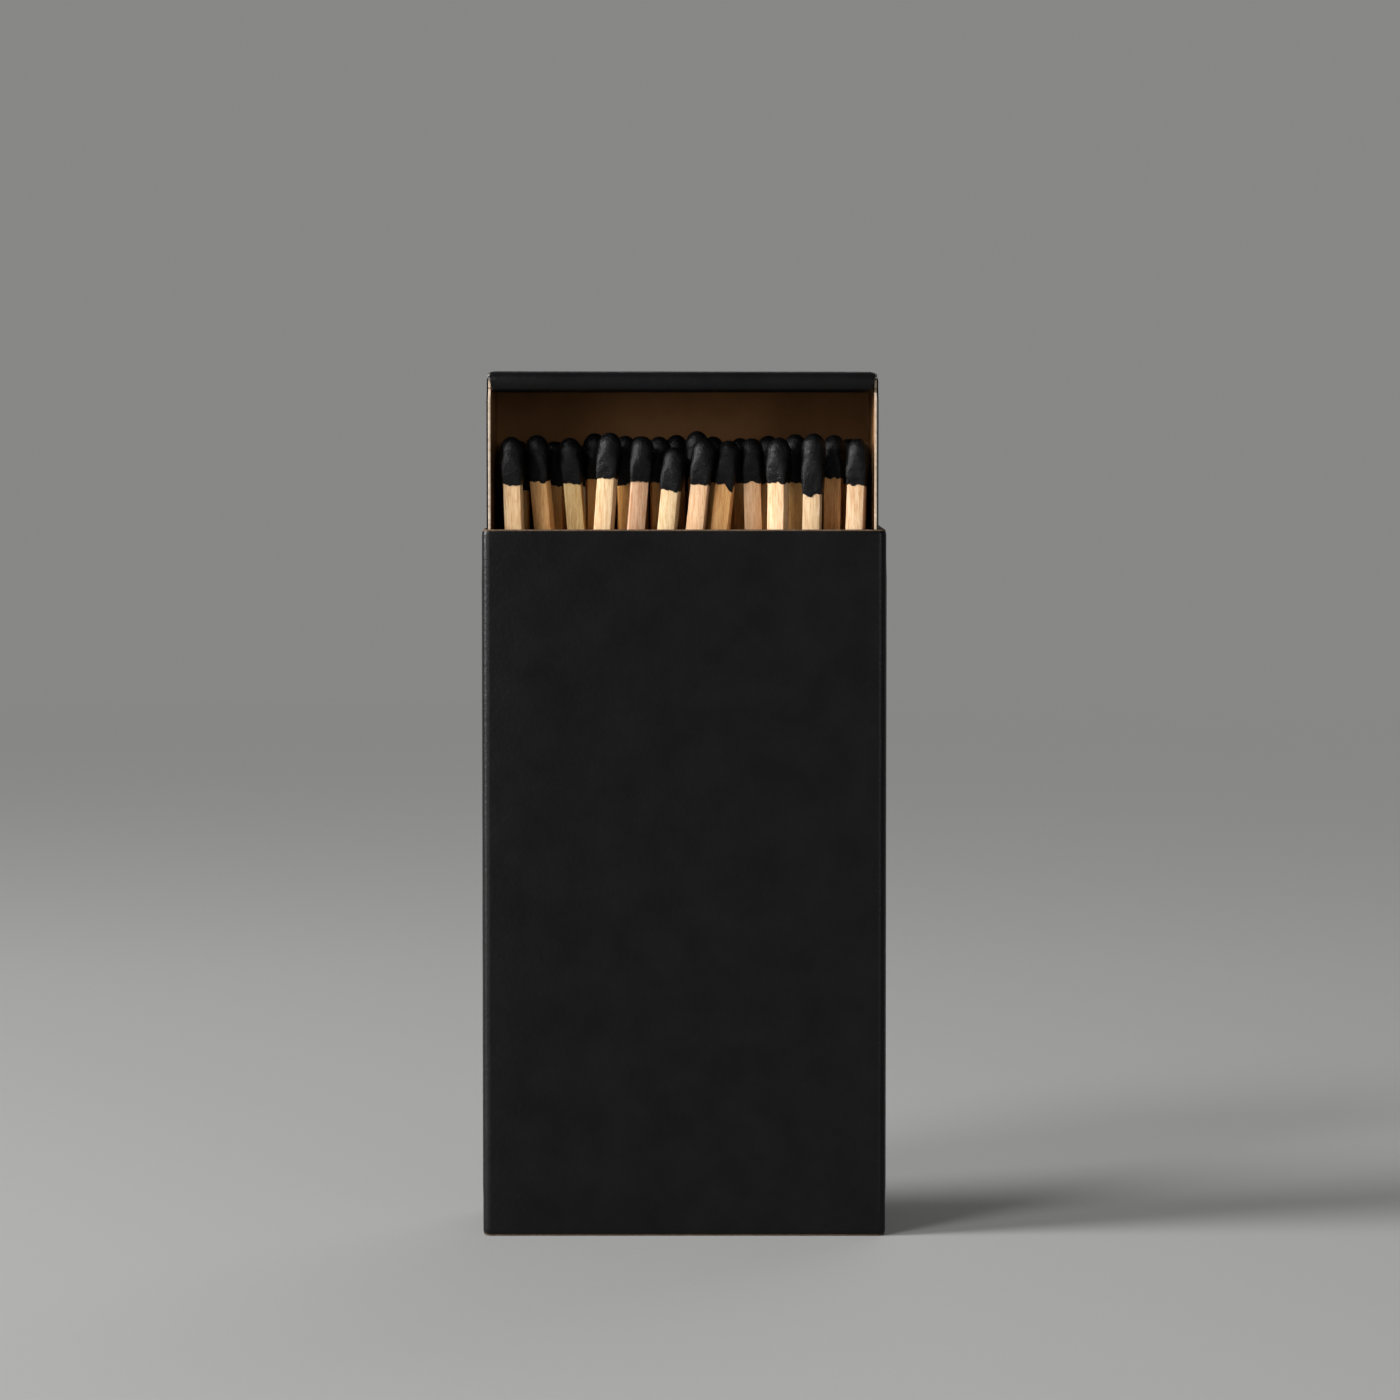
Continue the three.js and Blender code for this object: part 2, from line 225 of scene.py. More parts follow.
def makeCutEdge(sheetName):
    look = cutEdge[sheetName]
    material, tree, shader = startMaterial(
        sheetName + " cut edge", cutEdge["roughness"], cutEdge["specular"],
    )
    fibres = grain(tree, placeIn(tree), look["fibreSize"], 4, 0.7)
    tone = mixColour(tree, remap(tree, fibres, 0.35, 0.7), look["light"], look["dark"])
    tree.links.new(tone, shader.inputs["Base Color"])
    tree.links.new(bump(tree, fibres, cutEdge["fibreDepth"]), shader.inputs["Normal"])
    return material


grit = {
    "dark": (0.010, 0.0075, 0.0065),
    "light": (0.055, 0.037, 0.030),
    "roughness": 0.88,
    "specular": 0.35,
    "patchSize": 3,
    "grainSize": 0.16,
    "grainDepth": 0.05,
}


def makeGrit():
    look = grit
    material, tree, shader = startMaterial(
        "red phosphorus grit", look["roughness"], look["specular"],
    )
    place = placeIn(tree)
    voronoi = addNode(tree, "ShaderNodeTexVoronoi", Vector=place, Scale=1 / look["grainSize"])
    cells = voronoi.outputs["Distance"]
    patches = grain(tree, place, look["patchSize"], 4, 0.6)
    dust = remap(tree, combine(tree, cells, patches, "ADD"), 0.45, 1.15)
    tree.links.new(mixColour(tree, dust, look["light"], look["dark"]), shader.inputs["Base Color"])
    tree.links.new(bump(tree, cells, look["grainDepth"]), shader.inputs["Normal"])
    return material


# Each pattern multiplies the tint of its match: its size, how far it is drawn out along the
# wood, its detail, the stretch of noise that shows it, how much of it shows, and its colour.
aspen = {
    "roughness": 0.62,
    "specular": 0.3,
    "lines": (0.16, 0.07, (4, 0.6), (0.42, 0.72), 0.85, (0.62, 0.40, 0.20)),
    "bands": (1.1, 0.16, (3, 0.5), (0.35, 0.7), 0.35, (0.80, 0.62, 0.42)),
    "pores": (0.10, 0.22, (2, 0.5), (0.6, 0.75), 0.6, (0.62, 0.44, 0.28)),
    "lineDepth": 0.02,
}


def makeAspen():
    material, tree, shader = startMaterial("aspen wood", aspen["roughness"], aspen["specular"])
    shade = addNode(tree, "ShaderNodeAttribute", {"attribute_name": "tint"}).outputs["Color"]
    patterns = {}
    for name in ("lines", "bands", "pores"):
        size, stretch, detail, (low, high), share, colour = aspen[name]
        patterns[name] = grain(tree, placeIn(tree, (1, 1, stretch)), size, *detail)
        shown = remap(tree, patterns[name], low, high, 0, share)
        shade = mixColour(tree, 1.0, shade, mixColour(tree, shown, (1, 1, 1), colour), "MULTIPLY")
    tree.links.new(shade, shader.inputs["Base Color"])
    tree.links.new(bump(tree, patterns["lines"], aspen["lineDepth"]), shader.inputs["Normal"])
    return material


dippedHead = {
    "dark": (0.0012, 0.0012, 0.0014),
    "light": (0.0034, 0.0034, 0.0038),
    "roughness": 0.31,
    "patchiness": 0.06,
    "specular": 0.13,
    "grainSize": 0.2,
    "grainDepth": 0.09,
    "lumpSize": 0.7,
    "lumpDepth": 0.085,
}


def makeHeadCoat():
    look = dippedHead
    material, tree, shader = startMaterial("dipped head coat", look["roughness"], look["specular"])
    place = placeIn(tree)
    fine = grain(tree, place, look["grainSize"], 3, 0.6)
    lumps = grain(tree, place, look["lumpSize"], 3, 0.55)
    tone = mixColour(tree, remap(tree, fine, 0.35, 0.7), look["dark"], look["light"])
    tree.links.new(tone, shader.inputs["Base Color"])
    smooth, rough = look["roughness"] - look["patchiness"], look["roughness"] + look["patchiness"]
    tree.links.new(remap(tree, lumps, 0.3, 0.7, smooth, rough), shader.inputs["Roughness"])
    relief = bump(tree, lumps, look["lumpDepth"])
    tree.links.new(bump(tree, fine, look["grainDepth"], relief), shader.inputs["Normal"])
    return material


paperBlack = makeBlackPaper()
boardBrown = makeBrownBoard()
sleeveEdge = makeCutEdge("sleeve")
trayEdge = makeCutEdge("tray")
strikerCoat = makeGrit()
woodAspen = makeAspen()
headCoat = makeHeadCoat()
print("finishes made")


mergeDistance = 0.0005


# Turns a bmesh in millimetres into a piece of the matchbox.
def finishPiece(bm, name, materials, body, slotName, *nodes, sharp=40):
    bmesh.ops.scale(bm, vec=(0.001, 0.001, 0.001), verts=bm.verts)
    mesh = bpy.data.meshes.new(name)
    bm.to_mesh(mesh)
    bm.free()
    for material in materials:
        mesh.materials.append(material)
    mesh.polygons.foreach_set("use_smooth", [True] * len(mesh.polygons))
    mesh.set_sharp_from_angle(angle=math.radians(sharp))
    piece = bpy.data.objects.new(name, mesh)
    scene.collection.objects.link(piece)
    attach(piece, body)
    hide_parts(*nodes)
    return piece


# Draws edges out along the vector, as new faces.
def drawOut(sheet, edges, along):
    drawn = bmesh.ops.extrude_edge_only(sheet, edges=edges)["geom"]
    bmesh.ops.translate(sheet, verts=vertsIn(drawn), vec=along)


def vertsIn(geometry):
    return [item for item in geometry if isinstance(item, bmesh.types.BMVert)]


# Draws an open sheet through the points and out along the vector.
def drawSheet(points, along):
    sheet = bmesh.new()
    line = [sheet.verts.new(point) for point in points]
    edges = [sheet.edges.new(pair) for pair in zip(line, line[1:])]
    drawOut(sheet, edges, along)
    sheet.normal_update()
    return sheet


def isFold(edge):
    return len(edge.link_faces) == 2 and edge.calc_face_angle() > 0.5


def roundFolds(sheet, radius, segments):
    folds = [edge for edge in sheet.edges if isFold(edge)]
    bmesh.ops.bevel(
        sheet, geom=folds, offset=radius, offset_type="OFFSET", segments=segments,
        profile=0.5, affect="EDGES", clamp_overlap=False, material=-1,
    )
    sheet.normal_update()


# Cuts a sheet square to an axis (0 for x, 1 for y, 2 for z) at the places along it.
def cutAcross(sheet, axis, places):
    normal = Vector((0, 0, 0))
    normal[axis] = 1
    for place in places:
        bmesh.ops.bisect_plane(
            sheet, geom=sheet.verts[:] + sheet.edges[:] + sheet.faces[:],
            plane_co=normal * place, plane_no=normal, dist=mergeDistance,
        )
    sheet.normal_update()


def steps(low, high, size):
    count = max(1, round((high - low) / size))
    return [low + (high - low) * i / count for i in range(1, count)]


def reverse(sheet):
    bmesh.ops.reverse_faces(sheet, faces=sheet.faces[:])


# Adds a part to the whole and frees it.
def addTo(whole, part):
    mesh = bpy.data.meshes.new("part")
    part.to_mesh(mesh)
    part.free()
    whole.from_mesh(mesh)
    bpy.data.meshes.remove(mesh)


# Gives a sheet its plies, each a closed shell. A ply is its depth under the sheet, its
# thickness and the materials of its outer face, inner face and cut edge.
def plyUp(sheet, plies, rounding):
    whole = bmesh.new()
    for depth, thickness, faces in plies:
        ply = sheet.copy()
        ply.normal_update()
        shifts = [vert.normal * -depth * vert.calc_shell_factor() for vert in ply.verts]
        for vert, shift in zip(ply.verts, shifts):
            vert.co += shift
        ply.normal_update()
        outside = {whereIs(vert) for vert in ply.verts}
        bmesh.ops.solidify(ply, geom=ply.faces[:], thickness=thickness)
        ply.normal_update()
        isOut = {vert: whereIs(vert) in outside for vert in ply.verts}
        outer, inner, edge = faces
        for face in ply.faces:
            sides = {isOut[vert] for vert in face.verts}
            face.material_index = edge if len(sides) == 2 else outer if True in sides else inner
        if rounding:
            rim = [
                line for line in ply.edges
                if len(line.link_faces) == 2 and isOut[line.verts[0]] == isOut[line.verts[1]]
                and {isMixed(face, isOut) for face in line.link_faces} == {True, False}
            ]
            bmesh.ops.bevel(
                ply, geom=rim, offset=rounding, offset_type="OFFSET", segments=2,
                profile=0.5, affect="EDGES", clamp_overlap=True, material=-1,
            )
        addTo(whole, ply)
    sheet.free()
    return whole


def whereIs(vert):
    return tuple(round(number, 4) for number in vert.co)


def isMixed(face, isOut):
    return len({isOut[vert] for vert in face.verts}) == 2


# Marks how rubbed each point is, for the black paper. At the sleeve's corners the lighter colour
# is a painted glint as well as wear.
def markWearAndGlint(bm, amount):
    layer = bm.verts.layers.float.new("wearAndGlint")
    for vert in bm.verts:
        vert[layer] = amount(vert.co)


# Sleeve: one sheet of card in a tube, glued down the right side
sleeve = {
    "width": 50.0,
    "depth": 24.5,
    "height": 87.8,
    "card": 0.4,
    "liner": 0.12,
    "fold": 1.05,
    "flap": 20,
    "setback": 0.35,
    "bow": 0.06,
    "mouthRoll": 0.18,
    "mouthReach": 0.8,
    "mouthRows": (0.12, 0.25, 0.45, 0.7, 1.0),
    "edgeRounding": 0.08,
    "edgeReach": 0.2,
    "bowWave": 22,
    "cell": 4.5,
    "cellMargin": 1.5,
    "seamMargin": 1.9,
    # The corner amount paints a glint where a fold meets an end. The fold and end amounts are
    # rubbed card.
    "wearAndGlint": {"fold": 0.3, "end": 0.25, "corner": 1.8},
    "wearAndGlintReach": {"x": 0.8, "y": 0.9, "z": 0.5},
}


# 1 at an edge, down to 0 at its reach from it.
def nearness(away, reach):
    return max(0, 1 - away / reach)


# True if an upright tube's faces point away from its middle line.
def facesOut(sheet):
    score = 0
    for face in sheet.faces:
        middle = face.calc_center_median()
        score += face.normal.dot(Vector((middle.x, middle.y, 0))) * face.calc_area()
    return score > 0


def makeSleeve():
    right, back, height = sleeve["width"] / 2, sleeve["depth"] / 2, sleeve["height"]
    inside = right - sleeve["card"]
    path = [
        (right, back - sleeve["setback"], 0), (right, -back, 0), (-right, -back, 0),
        (-right, back, 0), (inside, back, 0), (inside, back - sleeve["flap"], 0),
    ]
    sheet = drawSheet(path, (0, 0, height))
    roundFolds(sheet, sleeve["fold"], 10)
    reach = sleeve["mouthReach"]
    ends = [reach * row for row in sleeve["mouthRows"]]
    cell, margin = sleeve["cell"], sleeve["cellMargin"]
    rows = ends + [height - end for end in ends] + steps(reach, height - reach, cell)
    cutAcross(sheet, 2, rows)
    cutAcross(sheet, 0, steps(-right + margin, right - sleeve["seamMargin"], cell))
    cutAcross(sheet, 1, steps(-back + margin, back - margin, cell))
    if not facesOut(sheet):
        reverse(sheet)
        sheet.normal_update()
    shifts = []
    for vert in sheet.verts:
        x, y, z = vert.co
        roll = sleeve["mouthRoll"] * nearness(min(z, height - z), reach) ** 2
        sag = 0
        if abs(vert.normal.y) > 0.9:
            unevenness = 0.75 + 0.5 * noise.noise(vert.co / sleeve["bowWave"])
            sag = sleeve["bow"] * math.cos(math.pi * x / (2 * right)) * unevenness
        if abs(vert.normal.x) > 0.9:
            sag = 0.5 * sleeve["bow"] * math.cos(math.pi * y / (2 * back))
        shifts.append(-vert.normal * (roll + max(0, sag)))
    for vert, shift in zip(sheet.verts, shifts):
        vert.co += shift
    sheet.normal_update()
    plies = [
        (0, sleeve["liner"], (0, 0, 0)),
        (sleeve["liner"], sleeve["card"] - sleeve["liner"], (1, 1, 2)),
    ]
    bm = plyUp(sheet, plies, sleeve["edgeRounding"])
    bm.normal_update()
    for face in bm.faces:
        middle = face.calc_center_median().z
        if abs(face.normal.z) > 0.3 and min(middle, height - middle) < sleeve["edgeReach"]:
            face.material_index = 2
    wearAndGlint, reach = sleeve["wearAndGlint"], sleeve["wearAndGlintReach"]

    def rubbedAndGlinting(point):
        nearSide = nearness(right - abs(point.x), reach["x"])
        nearFold = nearSide * nearness(back - abs(point.y), reach["y"])
        nearEnd = nearness(min(point.z, height - point.z), reach["z"])
        # The corner term below is a painted glint where a fold meets an end. The fold and end
        # terms are real rubbing.
        rubAndGlint = wearAndGlint["fold"] * nearFold + wearAndGlint["end"] * nearEnd
        return min(1, rubAndGlint + wearAndGlint["corner"] * nearFold * nearEnd)

    markWearAndGlint(bm, rubbedAndGlinting)
    materials = [paperBlack, boardBrown, sleeveEdge]
    return finishPiece(bm, "sleeve_card", materials, "sleeve_body", "black_card", "sleeve")


makeSleeve()
print("sleeve made")


# Striking strips: a gritty coat printed on each narrow side
striker = {
    "thickness": 0.12,
    "columns": 26,
    "rows": 92,
    "raggedness": 0.10,
    "raggedWave": 1.7,
    "grainHeight": 0.02,
    "grainWave": 2.3,
    "rimHeight": 0.012,
    "skirt": 0.06,
}


def makeStriker(name, side, node):
    low, high = (1000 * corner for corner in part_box(node))
    outside = high.x if side > 0 else low.x
    middle = (low.z + high.z) / 2
    top = striker["grainHeight"]
    shift = Vector((side * 9, 0, 0))
    bm = bmesh.new()
    bmesh.ops.create_grid(
        bm, x_segments=striker["columns"], y_segments=striker["rows"], size=0.5,
    )
    turn = Matrix.Rotation(math.radians(90), 4, "Y")
    bmesh.ops.transform(bm, verts=bm.verts, matrix=turn)
    bmesh.ops.scale(bm, verts=bm.verts, vec=(1, high.y - low.y, high.z - low.z))
    bmesh.ops.translate(bm, verts=bm.verts, vec=(0, 0, middle))
    bm.normal_update()
    for vert in bm.verts:
        sunk = top + abs(top * noise.noise(vert.co * striker["grainWave"]))
        if vert.is_boundary:
            ragged = striker["raggedness"] * noise.noise(vert.co * striker["raggedWave"] + shift)
            vert.co.y -= math.copysign(abs(ragged), vert.co.y)
            vert.co.z -= math.copysign(abs(ragged), vert.co.z - middle)
            sunk = striker["thickness"] - striker["rimHeight"]
        vert.co.x = outside - side * sunk
    bmesh.ops.recalc_face_normals(bm, faces=bm.faces)
    bm.normal_update()
    if sum(face.normal.x * face.calc_area() for face in bm.faces) * side < 0:
        reverse(bm)
    rim = [edge for edge in bm.edges if edge.is_boundary]
    drawOut(bm, rim, (-side * striker["skirt"], 0, 0))
    return finishPiece(bm, name, [strikerCoat], "sleeve_body", "striker_grit", node)


makeStriker("striking_strip_left", -1, "striker_left")
makeStriker("striking_strip_right", 1, "striker_right")
print("striking strips made")


# Tray: one sheet, black outside and brown inside, with both end walls rolled over
tray = {
    "width": 48.4,
    "depth": 23.3,
    "length": 87.0,
    "card": 0.5,
    "liner": 0.19,
    "fold": 0.8,
    "rim": 2.6,
    "clip": 2.4,
    "rimEndInset": 0.15,
    "rimEndGap": 0.2,
    "flap": 13,
    "flapSetback": 0.8,
    "glueBite": 0.05,
    "endDroop": 0.3,
    "droopReach": 0.9,
    "edgeRounding": 0.03,
    "edgeWaver": 0.03,
    "cell": {"x": 5, "y": 4, "z": 2.2},
    "margin": {"x": 1.2, "y": 1.2, "z": 0.4},
    "edgeRows": (0.3, 0.8),
    "rollCell": 4,
    "rollColumns": (0.2, 0.45, 0.9),
    "rollMargin": {"x": 1.2, "front": 1.4, "rear": 1.0},
    "wearAndGlint": 2.4,
    "wearAndGlintReach": {"x": 0.7, "y": 1.4, "z": 2.8},
}


def trayPlies(linerEdge=0):
    return [
        (0, tray["liner"], (0, 0, linerEdge)),
        (tray["liner"], tray["card"] - tray["liner"], (1, 1, 2)),
    ]


def trayChannel(half, back, wallTop):
    path = [(half, -back, 0), (half, back, 0), (-half, back, 0), (-half, -back, 0)]
    sheet = drawSheet([(x, y, -wallTop) for x, y, z in path], (0, 0, 2 * wallTop))
    roundFolds(sheet, tray["fold"], 8)
    if not facesOut(sheet):
        reverse(sheet)
    for end in (1, -1):
        geometry = sheet.verts[:] + sheet.edges[:] + sheet.faces[:]
        bmesh.ops.bisect_plane(
            sheet, geom=geometry, plane_co=(0, -back, end * (wallTop - tray["clip"])),
            plane_no=(0, -1, end), clear_outer=True,
        )
    cell, margin = tray["cell"], tray["margin"]
    edgeRows = [-back + row for row in tray["edgeRows"]]
    cutAcross(sheet, 2, steps(-wallTop + margin["z"], wallTop - margin["z"], cell["z"]))
    cutAcross(sheet, 1, edgeRows + steps(edgeRows[-1], back - margin["y"], cell["y"]))
    cutAcross(sheet, 0, steps(-half + margin["x"], half - margin["x"], cell["x"]))
    for vert in sheet.verts:
        if vert.co.y < -back + 0.02:
            wave = Vector((vert.co.x, 0, vert.co.z * 0.8))
            vert.co.y += tray["edgeWaver"] * abs(noise.noise(wave))
    sheet.normal_update()
    return plyUp(sheet, trayPlies(), tray["edgeRounding"])


# Draws a profile on from its last point, straight or round a centre.
def runOn(sheet, point, along):
    drawn = bmesh.ops.extrude_vert_indiv(sheet, verts=[point])["verts"]
    bmesh.ops.translate(sheet, verts=drawn, vec=along)
    return drawn[0]


def turnOn(sheet, point, centre, degrees, count):
    made = bmesh.ops.spin(
        sheet, geom=[point], cent=centre, axis=(1, 0, 0), angle=math.radians(degrees), steps=count,
    )
    return vertsIn(made["geom_last"])[0]


# An end wall: up the back, over the end, round the rim and back under itself.
def trayEnd(half, back, top):
    wide, narrow = half - tray["rimEndInset"], half - tray["card"] - tray["rimEndGap"]
    fold, roll = tray["fold"], tray["rim"] / 2
    lap = 2 * fold
    sheet = bmesh.new()
    point = sheet.verts.new((-wide, back, top - lap))
    point = runOn(sheet, point, (0, 0, lap - fold))
    point = turnOn(sheet, point, (-wide, back - fold, top - fold), 90, 8)
    point = runOn(sheet, point, (0, fold + roll - 2 * back, 0))
    point = turnOn(sheet, point, (-wide, roll - back, top - roll), 180, 16)
    runOn(sheet, point, (0, 2 * back - roll - tray["card"] / 2, 0))
    drawOut(sheet, sheet.edges[:], (2 * wide, 0, 0))
    bmesh.ops.recalc_face_normals(sheet, faces=sheet.faces[:])
    sheet.normal_update()
    topFaces = [face for face in sheet.faces if face.calc_center_median().z > top - 0.01]
    if sum(face.normal.z * face.calc_area() for face in topFaces) < 0:
        reverse(sheet)
    cell, margin = tray["rollCell"], tray["rollMargin"]
    columns = [wide - inset for inset in tray["rollColumns"]]
    between = steps(-wide + margin["x"], wide - margin["x"], cell)
    cutAcross(sheet, 0, [-column for column in columns] + columns[::-1] + between)
    cutAcross(sheet, 1, steps(-back + margin["front"], back - margin["rear"], cell))
    for vert in sheet.verts:
        drop = (top - tray["card"] - vert.co.z) / roll
        limit = wide + (narrow - wide) * min(1, max(0, drop))
        corner = vert.co.y - (back - fold)
        if corner > 0:
            limit = min(limit, half - fold + math.sqrt(max(0, fold ** 2 - corner ** 2)))
        vert.co.x = max(-limit, min(limit, vert.co.x))
        if vert.co.z > top - roll:
            fromEnd = wide - abs(vert.co.x)
            vert.co.z -= tray["endDroop"] * nearness(fromEnd, tray["droopReach"]) ** 2
    bmesh.ops.remove_doubles(sheet, verts=sheet.verts[:], dist=mergeDistance)
    sheet.normal_update()
    return plyUp(sheet, trayPlies(2), tray["edgeRounding"])


def cornerFlap(side, half, back, top):
    level = top - tray["card"] + tray["glueBite"]
    fold = tray["fold"]
    front, rear = -back + tray["rim"] / 2, back - tray["card"] - tray["flapSetback"]
    path = [(half, level - 2 * fold), (half, level), (half - tray["flap"], level)]
    sheet = drawSheet([(x, front, z) for x, z in path], (0, rear - front, 0))
    roundFolds(sheet, fold, 8)
    if sum(face.normal.x * face.calc_area() for face in sheet.faces) < 0:
        reverse(sheet)
    if side < 0:
        bmesh.ops.scale(sheet, verts=sheet.verts, vec=(-1, 1, 1))
        reverse(sheet)
    cutAcross(sheet, 1, steps(front, rear, tray["cell"]["y"]))
    sheet.normal_update()
    return plyUp(sheet, trayPlies(), tray["edgeRounding"])


def makeTray():
    low, high = (1000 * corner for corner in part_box("tray"))
    half, back, top = tray["width"] / 2, tray["depth"] / 2, tray["length"] / 2
    wallTop = top - tray["card"] + tray["glueBite"] - tray["fold"]
    reach = tray["wearAndGlintReach"]
    bm = bmesh.new()
    addTo(bm, trayChannel(half, back, wallTop))
    for turn in (0, math.pi):
        parts = [trayEnd(half, back, top)]
        parts += [cornerFlap(side, half, back, top) for side in (1, -1)]
        for part in parts:
            if turn:
                matrix = Matrix.Rotation(turn, 3, "Y")
                bmesh.ops.rotate(part, verts=part.verts, cent=(0, 0, 0), matrix=matrix)
            addTo(bm, part)

    def rubbedAndGlinting(point):
        nearSide = nearness(half - abs(point.x), reach["x"])
        nearEnd = nearness(top - abs(point.z), reach["z"])
        return min(1, tray["wearAndGlint"] * nearSide * nearEnd * nearness(point.y + back, reach["y"]))

    markWearAndGlint(bm, rubbedAndGlinting)
    bmesh.ops.translate(bm, verts=bm.verts, vec=(low + high) / 2)
    materials = [paperBlack, boardBrown, trayEdge]
    return finishPiece(bm, "tray_card", materials, "tray_body", "tray_card", "tray")


makeTray()
print("tray made")


# Matches: a split stick and a dipped head each, set where the frame's match stands
match = {
    "splint": 2.15,
    "edge": 0.09,
    "cuts": 72,
    "waver": 0.022,
    "noiseSeed": 56,
    "slowWave": 0.06,
    "quickWave": 0.9,
    "tipCover": 1.9,
    "tipSink": 1.35,
    "skin": 0.085,
    "swell": 0.44,
    "widestAt": 0.62,
    "around": 48,
    "rings": 40,
    "underside": 0.09,
    "undersideHeight": 0.18,
    "bodyShare": 0.62,
    "squareUpTo": 0.6,
    "lump": 0.05,
    "lumpWave": 0.9,
    "fineLumpWave": 2.6,
    "fineLumpShare": 0.45,
    "ragged": 0.3,
    "raggedUpTo": 0.45,
    "raggedWave": 2.2,
    "fineRaggedWave": 6.5,
    "fineRaggedShare": 0.55,
    "runWidth": 0.33,
    "tintSpread": (0.96, 1.03),
    "footBand": 1,
    "sameCorner": 0.1,
    "sideRange": (1, 2.5),
    "headAbove": 20,
}

tints = {
    "cream": (0.66, 0.485, 0.295),
    "straw": (0.70, 0.49, 0.28),
    "olive": (0.67, 0.48, 0.23),
    "honey": (0.80, 0.46, 0.18),
    "rose": (0.67, 0.41, 0.27),
    "peach": (0.72, 0.51, 0.32),
    # golden and amber go only on the hidden matches. They are warmer and brighter than the wood,
    # as painted warm bounce light for the shaded rows behind.
    "goldenPaintedBounce": (0.92, 0.58, 0.23),
    "amberPaintedBounce": (0.90, 0.48, 0.14),
}
frontTints = [
    "straw", "honey", "olive", "cream", "rose", "cream",
    "straw", "honey", "straw", "peach", "cream", "cream",
]
# The hidden matches lean to golden and amber, painted bounce light in the gaps between the sticks.
# Honey and straw are real wood tints.
hiddenTintsWithPaintedBounce = ["goldenPaintedBounce", "amberPaintedBounce", "honey", "goldenPaintedBounce", "straw"]

# Where the coat of a front match ran down: the side it ran on, in degrees, and how far
runs = {
    2: (-60, 0.30), 3: (-52, 0.32), 6: (-50, 0.18),
    8: (-42, 0.85), 9: (-60, 0.15), 11: (-100, 0.55),
}

# Without a seed, noise_vector would take its offsets from the clock.
noise.seed_set(match["noiseSeed"])


# Reads how a match of the frame stands: its place, its length and where its head starts.
def placeOf(node):
    points = [1000 * vert.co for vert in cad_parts[node].data.vertices]
    band = min(point.z for point in points) + match["footBand"]
    apart, (least, most) = match["sameCorner"], match["sideRange"]
    corners = []
    for point in points:
        if point.z < band and all((point - other).length > apart for other in corners):
            corners.append(point)
    foot = sum(corners, Vector()) / len(corners)
    tip = max(points, key=lambda point: (point - foot).length)
    axis = (tip - foot).normalized()
    pairs = [first - second for first in corners for second in corners]
    sides = [pair.normalized() for pair in pairs if least < pair.length < most]
    across = max(sides, key=lambda side: side.x)
    across = (across - axis * across.dot(axis)).normalized()
    depth = axis.cross(across)
    heights = [(point - foot).dot(axis) for point in points]
    headFoot = min(height for height in heights if height > match["headAbove"])
    turn = Matrix((across, depth, axis)).transposed().to_4x4()
    return Matrix.Translation(foot) @ turn, (tip - foot).length, headFoot


def uprightsOf(bm):
    return [edge for edge in bm.edges if abs(edge.verts[0].co.z - edge.verts[1].co.z) > 1]


def makeStick(bm, length, seed):
    stick = bmesh.ops.create_cube(bm, size=1)["verts"]
    bmesh.ops.scale(bm, verts=stick, vec=(match["splint"], match["splint"], length))
    bmesh.ops.translate(bm, verts=stick, vec=(0, 0, length / 2))
    bmesh.ops.bevel(
        bm, geom=uprightsOf(bm), offset=match["edge"], offset_type="OFFSET", segments=2,
        profile=0.5, affect="EDGES", material=-1,
    )
    bmesh.ops.subdivide_edges(bm, edges=uprightsOf(bm), cuts=match["cuts"], use_grid_fill=True)
    for vert in bm.verts:
        along = vert.co.z * match["quickWave"] + seed * 13
        corner = Vector((math.copysign(5, vert.co.x), math.copysign(5, vert.co.y), 0))
        slow = noise.noise_vector(Vector((seed, along * match["slowWave"], 0)))
        quick = noise.noise_vector(corner + Vector((0, seed * 3, along)))
        vert.co.x += match["waver"] * (quick.x + 2 * slow.x)
        vert.co.y += match["waver"] * (quick.y + 2 * slow.y)


# How wide a head is at a height over its foot.
def headRadius(height, length):
    widest = match["splint"] / 2 + match["swell"]
    lip = match["splint"] / 2 + match["skin"]
    dome = length - match["tipCover"]
    if height < dome:
        rise = min(1, max(0, height / (match["widestAt"] * length)))
        return lip + (widest - lip) * math.sin(rise * math.pi / 2) ** 0.85
    return widest * math.sqrt(max(0, 1 - ((height - dome) / match["tipCover"]) ** 2))


# How far the coat's lower edge rises or falls round a head.
def raggedEdge(angle, seed, run):
    around = Vector((math.cos(angle), math.sin(angle), 0))
    wave = around * match["raggedWave"] + Vector((0, 0, seed * 5.3))
    fine = around * match["fineRaggedWave"] + Vector((0, 0, seed * 2.9))
    drop = noise.noise(wave) + match["fineRaggedShare"] * noise.noise(fine)
    drop *= match["ragged"]
    if run:
        where, far = run
        away = math.remainder(angle - math.radians(where), 2 * math.pi)
        drop -= far * math.exp(-(away / match["runWidth"]) ** 2)
    return drop


# How high, how wide and how square a head is at a share of the way up its skin, which
# starts under the head, at the stick.
def headProfile(share, length):
    hidden, body, cover = match["underside"], match["bodyShare"], match["tipCover"]
    if share < hidden:
        part = share / hidden
        radius = (match["splint"] / 2 + match["skin"]) * part
        return match["undersideHeight"] * (1 - part), radius, 1
    climb = (share - hidden) / (1 - hidden)
    dome = length - cover
    height = dome * climb / body
    if climb >= body:
        height = dome + cover * math.sin((climb - body) / (1 - body) * math.pi / 2)
    return height, headRadius(height, length), nearness(height, match["squareUpTo"] * length)


